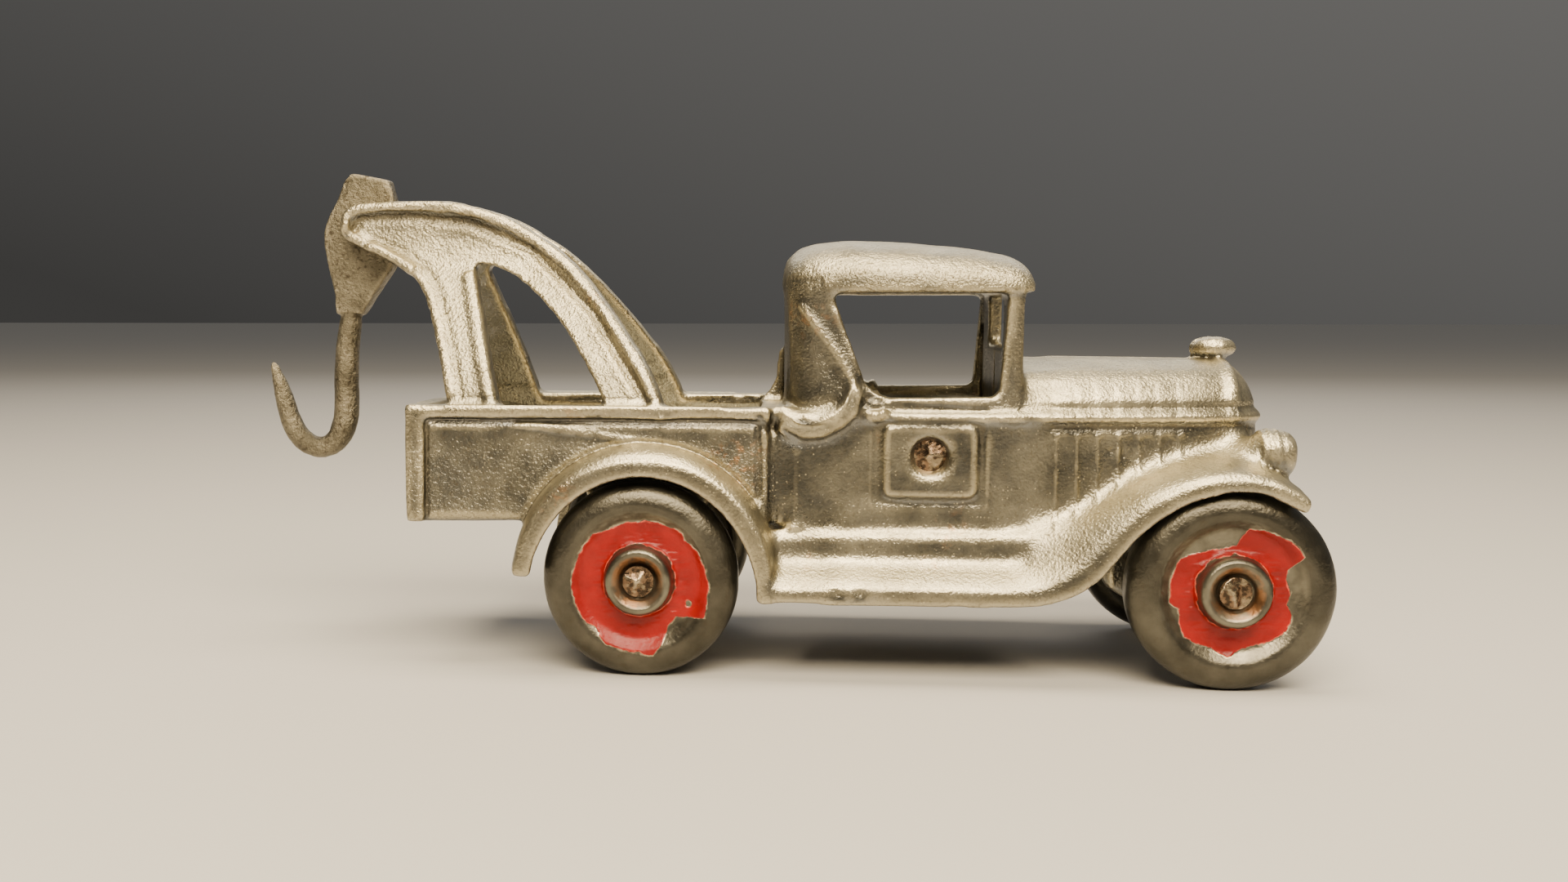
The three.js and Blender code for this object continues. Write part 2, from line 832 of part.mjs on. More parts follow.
// ---- Assembly ----
const nickel = new THREE.MeshStandardMaterial({ color: 0xa39a86, roughness: 0.45, metalness: 0.9 });
const darkNickel = new THREE.MeshStandardMaterial({ color: 0x7d7463, roughness: 0.4, metalness: 0.9 });
const bareIron = new THREE.MeshStandardMaterial({ color: 0x5c5045, roughness: 0.6, metalness: 0.8 });
const rustySteel = new THREE.MeshStandardMaterial({ color: 0x6b4230, roughness: 0.6, metalness: 0.7 });

const truck = new THREE.Group();
truck.position.x = -(frontTip + hookTip) / 2;

function place(name, geometry, material, x = 0, z = 0) {
  const mesh = new THREE.Mesh(geometry, material);
  mesh.name = name;
  mesh.position.set(x, 0, z);
  truck.add(mesh);
}

// The hook hangs on a peg cast on the left arm, which enters a blind socket in the right arm.
const half = bodyHalf();
const socketDepth = 3;
const socket = crossBar(pivotX, pivotZ, pegBore + 0.05, seam, socketDepth);
const peg = crossBar(pivotX, pivotZ, pegRadius, 0.2 - socketDepth, socketDepth);
place("body_half_right", geometryOf(half.subtract(socket)), nickel);
place("body_half_left", geometryOf(mirrored(half.add(peg))), nickel);

const rivetHeadThickness = 0.9;
const rivetProfile = pinProfile(bodySide - 0.2, rivetRadius, rivetHead, rivetHeadThickness);
place("body_rivet", latheAcross(rivetProfile, 20), rustySteel, rivetX, rivetZ);

const peenThickness = 1.1;
const axleProfile = pinProfile(axleHalfLength, axleRadius, peenRadius, peenThickness);
place("rear_axle", latheAcross(axleProfile, 20), rustySteel, 0, axleHeight);
place("front_axle", latheAcross(axleProfile, 20), rustySteel, wheelbase, axleHeight);

for (const [side, sideName] of [[-1, "right"], [1, "left"]]) {
  place(`wheel_rear_${sideName}`, wheelGeometry(side), darkNickel, 0, axleHeight);
  place(`wheel_front_${sideName}`, wheelGeometry(side), darkNickel, wheelbase, axleHeight);
}

place("tow_hook", geometryOf(towHook()), bareIron);

export default truck;
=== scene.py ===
"""Looks of a small cast-iron toy tow truck: worn nickel castings, chipped red wheel centres and rusty pins.

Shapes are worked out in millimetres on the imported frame, then stored in metres. "Out" is the distance
from the seam that splits the two body castings, and x, z are the frame's own.
"""

import math

import bmesh
import bpy
import numpy as np
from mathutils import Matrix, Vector


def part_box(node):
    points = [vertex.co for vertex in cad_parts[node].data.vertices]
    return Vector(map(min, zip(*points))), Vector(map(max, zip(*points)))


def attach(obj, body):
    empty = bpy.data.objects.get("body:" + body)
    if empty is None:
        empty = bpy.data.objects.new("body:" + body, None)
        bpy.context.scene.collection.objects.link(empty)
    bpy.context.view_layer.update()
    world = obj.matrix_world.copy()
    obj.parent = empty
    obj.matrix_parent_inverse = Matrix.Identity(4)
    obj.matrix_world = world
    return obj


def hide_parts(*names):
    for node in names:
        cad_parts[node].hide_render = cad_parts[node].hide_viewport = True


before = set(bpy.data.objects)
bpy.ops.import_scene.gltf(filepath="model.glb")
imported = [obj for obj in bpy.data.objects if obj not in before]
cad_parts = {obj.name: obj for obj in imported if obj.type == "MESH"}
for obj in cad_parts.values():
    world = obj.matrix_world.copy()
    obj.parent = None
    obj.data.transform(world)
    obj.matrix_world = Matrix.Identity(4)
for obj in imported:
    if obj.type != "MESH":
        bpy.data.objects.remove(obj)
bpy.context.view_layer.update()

MM = 0.001
AXLE_X = -15.45  # the rear axle's place along the frame, in mm
WHEELBASE = 73.6
AXLE_HEIGHT = 12.7
MOST_TRIANGLES = 196000  # in one casting's finished mesh


# ---- Small maths ----
def smooth_step(low, high, values):
    """0 up to `low`, 1 from `high` on, and an even S-curve between them."""
    t = np.clip((values - low) / (high - low), 0, 1)
    return t * t * (3 - 2 * t)


def bump_of(distance, width):
    """1 at distance 0, falling smoothly to nothing over about twice the width."""
    return np.exp(-((distance / width) ** 2))


def lattice_noise(points, size, seed):
    """Smooth noise from -1 to 1 with features about `size` mm across."""
    cells = 32
    table = np.random.default_rng(seed).uniform(-1, 1, (cells, cells, cells))
    at = points / size
    cell = np.floor(at).astype(int)
    t = at - cell
    t = t * t * (3 - 2 * t)
    total = np.zeros(len(points))
    for corner in range(8):
        step = np.array([corner & 1, corner >> 1 & 1, corner >> 2 & 1])
        weight = np.prod(np.where(step, t, 1 - t), axis=1)
        i, j, k = ((cell + step) % cells).T
        total += weight * table[i, j, k]
    return total


def cast_noise(points, size, seed, octaves=3):
    """Rougher noise of about -1 to 1, made of layers that each have half the size of the one before."""
    total = np.zeros(len(points))
    for octave in range(octaves):
        total += lattice_noise(points, size / 2**octave, seed + octave) / 2**octave
    return total / 1.6


def distance_to_path(x, z, path):
    """Distance in the side view from each point to a line of (x, z) points."""
    best = np.full(len(x), np.inf)
    for (x0, z0), (x1, z1) in zip(path, path[1:]):
        run, rise = x1 - x0, z1 - z0
        t = np.clip(((x - x0) * run + (z - z0) * rise) / (run * run + rise * rise), 0, 1)
        best = np.minimum(best, np.hypot(x - x0 - t * run, z - z0 - t * rise))
    return best


def distance_to_box(x, z, centre, half, corner):
    """Signed distance in the side view to a rounded rectangle, negative inside."""
    dx = np.abs(x - centre[0]) - half[0] + corner
    dz = np.abs(z - centre[1]) - half[1] + corner
    outside = np.hypot(np.maximum(dx, 0), np.maximum(dz, 0))
    return outside + np.minimum(np.maximum(dx, dz), 0) - corner


# ---- Cast skins ----
MOST_BULGE = 0.22  # mm that a facet may be rounded out by


def welded_copy(mesh):
    """A mesh's points in mm with its doubled points joined, ready to be worked on."""
    shape = bmesh.new()
    shape.from_mesh(mesh)
    bmesh.ops.remove_doubles(shape, verts=shape.verts, dist=1e-6)
    bmesh.ops.triangulate(shape, faces=shape.faces)
    bmesh.ops.scale(shape, vec=Vector((1 / MM,) * 3), verts=shape.verts)
    copy = bpy.data.meshes.new("welded")
    shape.to_mesh(copy)
    shape.free()
    return copy


def rounded_triangles(mesh, crease, cuts):
    """The mesh cut finer, with each facet bulged so that a row of facets reads as one curve.

    Edges sharper than `crease` degrees stay sharp. The result is loose triangles for remeshing.
    """
    mesh.shade_smooth()
    mesh.set_sharp_from_angle(angle=math.radians(crease))
    loops = len(mesh.loops)
    corner = np.empty(loops, int)
    mesh.loops.foreach_get("vertex_index", corner)
    normal = np.empty(loops * 3)
    mesh.corner_normals.foreach_get("vector", normal)
    co = np.empty(len(mesh.vertices) * 3)
    mesh.vertices.foreach_get("co", co)
    corners = co.reshape(-1, 3)[corner].reshape(-1, 3, 3)
    normals = normal.reshape(-1, 3, 3)

    places = [(i, j) for i in range(cuts + 1) for j in range(cuts + 1 - i)]
    index = {place: n for n, place in enumerate(places)}
    weights = np.array([[i, j, cuts - i - j] for i, j in places]) / cuts
    flat = np.einsum("pk,tkc->tpc", weights, corners)
    gap = flat[:, :, None, :] - corners[:, None, :, :]
    height = np.einsum("tpkc,tkc->tpk", gap, normals)
    bulged = np.einsum("pk,tpk,tkc->tpc", weights, height, normals)
    size = np.linalg.norm(bulged, axis=2, keepdims=True)
    points = flat - bulged * np.minimum(0.75, MOST_BULGE / np.maximum(size, 1e-9))

    pattern = []
    for i, j in places:
        if i + j < cuts:
            pattern.append([index[i, j], index[i + 1, j], index[i, j + 1]])
        if i + j < cuts - 1:
            pattern.append([index[i + 1, j], index[i + 1, j + 1], index[i, j + 1]])
    faces = np.array(pattern)[None] + np.arange(len(points))[:, None, None] * len(places)
    return points.reshape(-1, 3), faces.reshape(-1, 3)


def mesh_from(name, points, faces):
    """A mesh of faces that all have the same number of sides."""
    mesh = bpy.data.meshes.new(name)
    mesh.vertices.add(len(points))
    mesh.vertices.foreach_set("co", np.asarray(points, np.float32).ravel())
    sides = faces.shape[1]
    mesh.loops.add(faces.size)
    mesh.loops.foreach_set("vertex_index", faces.astype(np.int32).ravel())
    mesh.polygons.add(len(faces))
    mesh.polygons.foreach_set("loop_start", np.arange(0, faces.size, sides, dtype=np.int32))
    mesh.update(calc_edges=True)
    mesh.validate()
    return mesh


def add_fields(mesh, fields):
    """Stores named values, one for each point, for the materials to read."""
    for field, values in fields.items():
        layer = mesh.attributes.new(field, "FLOAT", "POINT")
        layer.data.foreach_set("value", values.astype(np.float32))


def applied(obj):
    """The object's mesh with its modifiers applied. The object itself is removed."""
    bpy.context.scene.collection.objects.link(obj)
    graph = bpy.context.evaluated_depsgraph_get()
    mesh = bpy.data.meshes.new_from_object(obj.evaluated_get(graph))
    bpy.data.objects.remove(obj)
    return mesh


def inside_box(points, node):
    """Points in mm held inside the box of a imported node."""
    low, high = (np.array(corner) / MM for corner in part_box(node))
    return np.clip(points, low, high)


class Skin:
    """A closed skin of small quads that can be relaxed and pushed about."""

    def __init__(self, solid, voxel):
        obj = bpy.data.objects.new("solid", solid)
        remesh = obj.modifiers.new("skin", "REMESH")
        remesh.mode = "VOXEL"
        remesh.voxel_size = voxel
        self.take(applied(obj))

    def take(self, mesh):
        """Reads the points, faces and edges of a mesh whose faces all have the same number of sides."""
        co = np.empty(len(mesh.vertices) * 3)
        mesh.vertices.foreach_get("co", co)
        self.points = co.reshape(-1, 3)
        sides = len(mesh.loops) // len(mesh.polygons)
        corner = np.empty(len(mesh.loops), int)
        mesh.loops.foreach_get("vertex_index", corner)
        self.faces = corner.reshape(-1, sides)
        ends = np.empty(len(mesh.edges) * 2, int)
        mesh.edges.foreach_get("vertices", ends)
        self.edges = ends.reshape(-1, 2)

    def neighbours_mean(self, values):
        """For each point, the mean of the values of the points it shares an edge with."""
        a, b = self.edges.T
        count = len(self.points)
        share = np.bincount(a, minlength=count) + np.bincount(b, minlength=count)
        columns = [
            np.bincount(a, column[b], count) + np.bincount(b, column[a], count)
            for column in values.reshape(count, -1).T
        ]
        return (np.stack(columns, 1) / share[:, None]).reshape(values.shape)

    def relax(self, passes, where=1.0, strength=0.6):
        """Smooths the skin. `where` is 1 at points that take full part and 0 at points that stay."""
        hold = np.broadcast_to(where, len(self.points))[:, None]
        for _ in range(passes):
            self.points += strength * hold * (self.neighbours_mean(self.points) - self.points)

    def normals(self):
        first, second, third, fourth = (self.points[self.faces[:, k]] for k in (0, 1, 2, -1))
        across = np.cross(third - first, fourth - second)
        total = np.zeros_like(self.points)
        for k in range(self.faces.shape[1]):
            for axis in range(3):
                total[:, axis] += np.bincount(self.faces[:, k], across[:, axis], len(self.points))
        return total / np.maximum(np.linalg.norm(total, axis=1), 1e-12)[:, None]

    def push(self, height):
        """Moves each point out along its normal by its height in mm."""
        self.points += self.normals() * height[:, None]

    def edge_field(self, passes=2):
        """Positive on edges and ridges, negative in corners and grooves, about -1 to 1."""
        sharpest = 0.02  # mm that a point on a sharp edge stands above its neighbours
        lift = np.einsum("pc,pc->p", self.points - self.neighbours_mean(self.points), self.normals())
        for _ in range(passes):
            lift = self.neighbours_mean(lift)
        return np.clip(lift / sharpest, -1, 1)

    def finished(self, name, node, fields):
        """The skin as an object that stays inside its node's box, thinned out where it is too fine."""
        self.points = inside_box(self.points, node)
        mesh = mesh_from(name, self.points * MM, self.faces)
        add_fields(mesh, fields)
        mesh.shade_smooth()
        obj = bpy.data.objects.new(name, mesh)
        triangles = len(self.faces) * 2
        if triangles > MOST_TRIANGLES:
            thin = obj.modifiers.new("thin", "DECIMATE")
            thin.ratio = MOST_TRIANGLES / triangles
            mesh = applied(obj)
            mesh.shade_smooth()
            obj = bpy.data.objects.new(name, mesh)
        bpy.context.scene.collection.objects.link(obj)
        return obj


def placed(obj, material, body, slot, *nodes):
    """Gives a finished piece its material, the body it moves with and the nodes it stands for."""
    obj.data.materials.clear()
    obj.data.materials.append(material)
    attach(obj, body)
    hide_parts(*nodes)
    return obj


# ---- The body castings ----
# All places are (along from the rear axle, up from the ground) unless a comment says otherwise.
CAST_VOXEL = 0.32
DOOR_PAD = {"centre": (36.8, 28.05), "half": (5.8, 4.55), "corner": 1.1}
DOOR_FRAME = {"centre": (36.65, 27.65), "half": (7.3, 5.6), "corner": 0.7}
BED_PANEL_ENDS = (-29.3, 14.6)
BED_PANEL_TOP = (32.9, 32.2)  # where its upper edge starts and ends
BED_PANEL_FOOT = (19.6, 20.4)
BELT_LINE = 33.6
BELT_GROOVES = [(34.9, 0.25), (32.5, 0.15)]  # height and depth of the groove on each side of the belt
# The crease down the cab's rear quarter, and the rolled fold at its foot.
QUARTER_CREASE = [(20.4, 47.6), (22.6, 44.8), (25, 41.6), (26.6, 38.8), (27.6, 36.9)]
SCROLL = [(17, 33.8), (18.4, 33), (20.6, 31.9), (23, 32.1), (25.2, 33.2), (26.6, 34.6), (27.2, 36.6)]
WINDOW_LUMP = (29.9, 35.0)  # a blob of metal at the window's rear lower corner
LIP_CHIPS = [(25.2, 11.6, 0.55), (28.0, 11.7, 0.4)]  # place and depth of each chip in the board's lip
PITS = (58.6, 29.3)  # middle of a pitted patch among the louvres
LOUVRE_FIRST = 52.4
LOUVRE_PITCH = 2.62
LOUVRE_COUNT = 7
HOOD_SIDE = [(48, 54, 61, 69), (16.6, 15.9, 14.7, 13.1)]  # places along, and distance out at each
LOUVRE_TOP = 31.3
LAMP = (13.9, 29.2)  # distance out and height of the headlamp's centre line
LAMP_DRUM = (76.8, 80.2)  # where its ribbed drum starts and ends
RADIATOR_LINES = (74.8, 75.9)  # two raised lines round the radiator's shell
# The upper edge of the boom's arch, and the rear edge of its rear leg.
FLANGE = [
    (-43.3, 59.4),
    (-41.4, 61.7),
    (-34, 62.1),
    (-24.6, 61.3),
    (-15.2, 57.1),
    (-5.6, 48.2),
    (1.5, 37.7),
    (3.3, 33.4),
]
LEG_REAR = [(-38.5, 55), (-35.5, 53.6), (-32.9, 52), (-30.7, 49.3), (-28.8, 45), (-26.9, 39.6), (-25.3, 33.4)]


def facet_skin(node, voxel, crease=34, cuts=5):
    """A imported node's faceted mesh as a skin with its curves rounded out."""
    welded = welded_copy(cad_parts[node].data)
    points, faces = rounded_triangles(welded, crease, cuts)
    return Skin(mesh_from("loose", points, faces), voxel)


def within(value, low, high, blend):
    """1 between two limits, fading to 0 over `blend` outside them."""
    return smooth_step(low - blend, low, value) * smooth_step(high + blend, high, value)


class Places:
    """Where each point of a casting lies: along from the rear axle, out from the seam, up from the ground.

    `up` follows the skin when it is pushed. The rest stay as they were at first.
    """

    def __init__(self, skin):
        normals = skin.normals()
        self.along = skin.points[:, 0] - AXLE_X
        self.out = np.abs(skin.points[:, 1])
        self.up = skin.points[:, 2]
        self.facing = normals[:, 1] * np.sign(skin.points[:, 1])
        self.ahead = np.maximum(normals[:, 0], 0)
        self.behind = np.maximum(-normals[:, 0], 0)
        self.rising = normals[:, 2]
        self.side = smooth_step(0.5, 0.8, self.facing)

    def boom_side(self):
        """The upright outer faces of the boom's arm."""
        return (self.up > 36) * (self.along < 5) * self.side


def melt_details(skin):
    """Softens the places where the sand mould left only faint or flowing shapes."""
    at = Places(skin)
    door = within(at.along, 29, 44.2, 0.5) * within(at.up, 21.8, 33.2, 0.4) * (at.out > 15)
    lamp = within(at.along, 72, 77.2, 0.8) * within(at.up, 23.5, 33.6, 0.8) * (at.out > 7)
    belt = within(at.along, 49, 84, 1) * within(at.up, 31.6, 36.6, 0.6) * (at.out > 3)
    scroll = within(at.along, 18, 28.5, 0.6) * within(at.up, 30.5, 38.5, 0.8) * (at.out > 15)
    quarter = within(at.along, 18, 26, 1) * within(at.up, 34, 50, 1) * (at.out > 8)
    channel = within(at.along, 16.6, 21, 0.6) * within(at.up, 17.6, 32.6, 0.8) * (at.out > 14)
    roots = within(at.up, 9, 29.5, 0.6) * within(at.out, 12, 19.6, 0.6) * smooth_step(-19, -17, at.along)
    flank = within(at.along, 50, 76.5, 1.5) * within(at.up, 9, 32, 0.8) * within(at.out, 9.3, 19.8, 0.8)
    crowns = within(at.up, 9, 29.5, 0.6) * within(at.out, 19, 20.8, 0.4) * smooth_step(46, 50, at.along)
    lips = within(at.up, 9, 29.5, 0.6) * smooth_step(19, 20.4, at.out)
    front_fender = lips * within(at.along, 49, 84, 2)
    for area, passes in ((door, 9), (lamp, 18), (belt, 16), (scroll, 24), (quarter, 12), (channel, 18)):
        skin.relax(passes, area)
    for area, passes in ((roots, 9), (flank, 80), (crowns, 16), (lips, 2), (front_fender, 3)):
        skin.relax(passes, area)


def panel_relief(at, crumple):
    """Height in mm of the features of the body's sides."""
    height = np.zeros(len(at.along))
    on_door = at.side * (at.out > 14.5) * (np.abs(at.along - DOOR_PAD["centre"][0]) < 9)
    pad = distance_to_box(at.along, at.up, **DOOR_PAD)
    door = distance_to_box(at.along, at.up, **DOOR_FRAME)
    height += on_door * (0.15 * bump_of(pad + 0.4, 0.3) - 0.1 * bump_of(pad - 0.5, 0.35))
    height += on_door * 0.15 * bump_of(door, 0.3)
    channel = within(at.along, 18, 19.6, 1.9) * within(at.up, 19.2, 31.6, 1.6)
    height += 0.6 * channel * smooth_step(14, 15, at.out) * smooth_step(17.2, 16.8, at.out)

    bed = within(at.along, *BED_PANEL_ENDS, 0.6)
    bed *= smooth_step(*BED_PANEL_TOP, at.up)
    bed *= smooth_step(*BED_PANEL_FOOT, at.up)
    height += 0.62 * bed * at.side * (at.out > 15.5) * (at.out < 17.3)

    count = (at.along - LOUVRE_FIRST) / LOUVRE_PITCH
    nearest = np.abs(count - np.round(count)) * LOUVRE_PITCH
    last = LOUVRE_FIRST + (LOUVRE_COUNT - 0.8) * LOUVRE_PITCH
    beyond_hood = at.out - np.interp(at.along, *HOOD_SIDE)
    rows = at.side * (at.out > 10) * within(at.along, LOUVRE_FIRST - 0.4, last, 0.4)
    rows *= smooth_step(2.4, 1.2, beyond_hood)
    rib = bump_of(nearest, 0.34) * smooth_step(LOUVRE_TOP + 0.2, LOUVRE_TOP - 0.5, at.up)
    arch = LOUVRE_TOP + 0.3 * np.sin(math.pi * (count % 1))
    slope = 0.1 * (0.5 - count % 1)
    height += rows * (0.27 * rib * crumple + 0.22 * bump_of(at.up - arch, 0.32) + slope - 0.05)

    upright = smooth_step(0.1, 0.5, np.hypot(at.facing, at.ahead))
    on_belt = smooth_step(49, 52, at.along) * (at.out > 3) * upright
    belt = 0.3 * bump_of(at.up - BELT_LINE, 0.55)
    for groove, depth in BELT_GROOVES:
        belt -= depth * bump_of(at.up - groove, 0.4)
    height += on_belt * belt
    return height


def flowing_relief(at, crumple):
    """Height in mm of the folds, lumps and flaws of the cab, lamp, lip and boom."""
    height = np.zeros(len(at.along))
    crease = distance_to_path(at.along, at.up, QUARTER_CREASE)
    on_quarter = smooth_step(9, 12, at.out) * smooth_step(0.1, 0.4, at.facing) * (at.along < 31)
    height += on_quarter * (0.3 * bump_of(crease, 0.55) - 0.1 * bump_of(crease - 1.5, 0.8))
    above = at.up - np.interp(at.along, *np.transpose(SCROLL))
    fold = smooth_step(-0.3, 0.9, above) * np.exp(-np.maximum(above - 0.9, 0) / 3.6)
    height += on_quarter * 0.75 * fold * within(at.along, 18.6, 26.2, 1.8)
    height -= on_quarter * 0.3 * bump_of(above - 2.6, 0.8) * within(at.along, 18.6, 24.5, 1.8)
    roll = distance_to_path(at.along, at.up, SCROLL)
    height += on_quarter * (0.4 * bump_of(roll, 0.8) - 0.35 * bump_of(roll - 1.7, 0.55) * (above < 0))

    lump = np.hypot(at.along - WINDOW_LUMP[0], at.up - WINDOW_LUMP[1])
    height += (at.out > 14) * 0.9 * smooth_step(2.1, 1.1, lump) * crumple**3

    for chip_along, chip_up, depth in LIP_CHIPS:
        chip = np.hypot((at.along - chip_along) / 1.3, at.up - chip_up)
        height -= (at.out > 20.6) * depth * bump_of(chip, 0.5) * crumple

    lamp = np.hypot(at.out - LAMP[0], at.up - LAMP[1])
    on_lamp = smooth_step(2.4, 2.9, lamp) * (lamp < 5) * within(at.along, *LAMP_DRUM, 0.4)
    ribs = np.cos((at.along - LAMP_DRUM[0]) * 2 * math.pi / 0.9)
    height += 0.17 * on_lamp * ribs * crumple

    shell = (at.up > 33.5) * (at.along > 70) * (at.out < 12)
    height += shell * 0.1 * sum(bump_of(at.along - line, 0.28) for line in RADIATOR_LINES)

    flange = distance_to_path(at.along, at.up, FLANGE)
    on_arm = at.boom_side()
    height -= on_arm * 0.45 * bump_of(flange - 2.1, 0.45)
    height += on_arm * 0.2 * bump_of(flange - 0.9, 0.6)
    height += on_arm * 0.16 * bump_of(flange - 3.2, 0.45) * smooth_step(-32, -26, at.along)
    # The web between the arms stands back a little, to leave room for the hook's head.
    web_rear = (at.out < 3) * within(at.along, -37, -34, 0.5) * within(at.up, 54, 61.5, 0.5)
    height -= 0.2 * web_rear * smooth_step(0.3, 0.6, at.behind)
    leg = distance_to_path(at.along, at.up, LEG_REAR)
    height += on_arm * (0.2 * bump_of(leg - 0.8, 0.5) - 0.24 * bump_of(leg - 2, 0.45))
    return height


def graininess(at):
    """How coarse the cast surface is at each point, 0 to 1."""
    roof_band = bump_of(at.up - 51.4, 1.7) * (at.out > 12) * (at.along > 15)
    low_panel = at.side * smooth_step(32, 28, at.up) * (at.out < 18.5) * (at.along < 17)
    return np.clip(0.3 + 0.45 * low_panel + 0.7 * roof_band + 0.4 * at.boom_side(), 0, 1)


def body_half(node, name, seed, material):
    """One body casting with its mould marks, folds and grain."""
    skin = facet_skin(node, CAST_VOXEL)
    skin.relax(3)
    melt_details(skin)
    at = Places(skin)
    crumple = 0.75 + 0.55 * cast_noise(skin.points, 1.1, seed)
    pitted = bump_of((at.along - PITS[0]) / 4, 1) * bump_of(at.up - PITS[1], 0.9) * at.side * (at.out > 12)
    pits = 0.3 * pitted * smooth_step(0.2, 0.5, cast_noise(skin.points, 0.8, seed + 2, 1))
    skin.push(panel_relief(at, crumple) + flowing_relief(at, crumple) - pits)
    skin.push(0.05 * cast_noise(skin.points, 13, seed + 3, 2))
    skin.relax(1)
    edge = skin.edge_field(3)
    rough = graininess(at)
    # The boom's top and the rear fenders' up-facing crowns are brighter, partly rubbed by hands and partly
    # painted highlight. The upright lips are duller: painted shade.
    rubbing_and_painted_light = 0.14 * smooth_step(49, 54, at.up) * (at.along < 5)
    rubbing_and_painted_light += 0.16 * smooth_step(18, 19, at.out) * smooth_step(0.2, 0.5, at.rising) * (at.along < 14)
    rubbing_and_painted_light -= 0.12 * smooth_step(20.4, 20.8, at.out) * smooth_step(0.6, 0.9, at.facing)
    # Up-facing faces lean to the bright plate and upright ones to the dull plate: partly wear, partly painted
    # highlight and shade.
    worn = smooth_step(-0.12, 0.5, at.rising * 0.7 + rubbing_and_painted_light + 0.12 * cast_noise(skin.points, 6, seed))
    skin.push((0.006 + 0.055 * rough**2) * cast_noise(skin.points, 0.8, seed + 5, 2))
    # Down-facing faces are marked for a neutral grey plate, a painted shade tone.
    under = smooth_step(-0.1, -0.4, at.rising)
    fields = {"edge": edge, "rough": rough, "worn": worn, "under": under}
    obj = skin.finished(name, node, fields)
    return placed(obj, material, "truck_body", "nickel_body", node)


# ---- Hook and pins ----
RIVET_HEAD = 16.1  # distance out from the seam at which a beaten end starts
AXLE_HEAD = 21.3


def tow_hook(material):
    """The hook's casting, with softened corners and fine grain."""
    skin = facet_skin("tow_hook", 0.17, crease=40)
    skin.relax(7)
    fields = {"edge": skin.edge_field(4)}
    skin.push(0.05 * cast_noise(skin.points, 1.0, 31) - 0.03)
    obj = skin.finished("cast_hook", "tow_hook", fields)
    return placed(obj, material, "tow_hook", "hook_iron", "tow_hook")


def hammered_pin(node, name, body, head_start, seed, material):
    """A round pin whose two ends are beaten over into a few rough facets."""
    skin = facet_skin(node, 0.13, crease=40, cuts=3)
    skin.relax(2)
    rng = np.random.default_rng(seed)
    middle = skin.points.mean(axis=0)
    reach = np.abs(skin.points[:, 1]).max()
    facets = 6
    for end in (-1, 1):
        across = skin.points[:, [0, 2]] - middle[[0, 2]]
        # How far out the end still reaches once each sloping facet has cut it down.
        ground = np.full(len(across), reach)
        for facet in range(facets):
            turn = 2 * math.pi * (facet + rng.uniform(-0.3, 0.3)) / facets
            slope = rng.uniform(0.25, 0.6)
            tilted = across @ np.array([math.cos(turn), math.sin(turn)])
            ground = np.minimum(ground, reach + 0.25 - slope * (tilted + 1.1) + rng.uniform(-0.1, 0.2))
        ground += 0.2 * cast_noise(skin.points, 1.2, seed + 1, 2)
        on_end = skin.points[:, 1] * end > head_start
        beaten = np.minimum(skin.points[:, 1] * end, np.maximum(ground, head_start))
        skin.points[:, 1] = np.where(on_end, beaten * end, skin.points[:, 1])
    skin.relax(2)
    fields = {"edge": skin.edge_field()}
    skin.push(0.03 * cast_noise(skin.points, 0.5, seed) - 0.02)
    obj = skin.finished(name, node, fields)
    return placed(obj, material, body, "rusty_pins", node)


# ---- Wheels ----
# Half the section of a wheel, from the bore round the inner face, the tyre, the disc and the hub to the
# bore again: radius, distance out from the seam.
WHEEL_INNER = [(1.66, 13.65), (4.1, 13.65), (4.3, 13.9), (4.7, 15.3), (5.3, 15.6), (9.2, 15.65), (10.3, 15.0)]
WHEEL_TYRE = [
    (10.9, 14.9),
    (11.7, 15.1),
    (12.3, 15.7),
    (12.62, 16.5),
    (12.7, 17.4),
    (12.7, 18.4),
    (12.48, 19.2),
    (11.98, 19.87),
    (11.33, 20.36),
    (10.52, 20.7),
    (9.74, 20.84),
    (9, 20.7),
    (8.35, 20.3),
    (7.7, 19.9),
]
WHEEL_DISC = [(7, 19.75), (5.6, 19.75), (4.9, 19.95), (4.5, 20.6)]
WHEEL_HUB = [
    (4.35, 21.4),
    (4.15, 21.95),
    (3.8, 22.2),
    (3.4, 22.16),
    (3, 21.85),
    (2.6, 21.4),
    (2.35, 21),
    (2.1, 20.85),
]
WHEEL_BORE = [(1.72, 20.8), (1.66, 20.6)]
WHEEL_TURNS = 420  # points round each ring
OUTER_FACE = 19  # the wheel's outer face lies further out than this

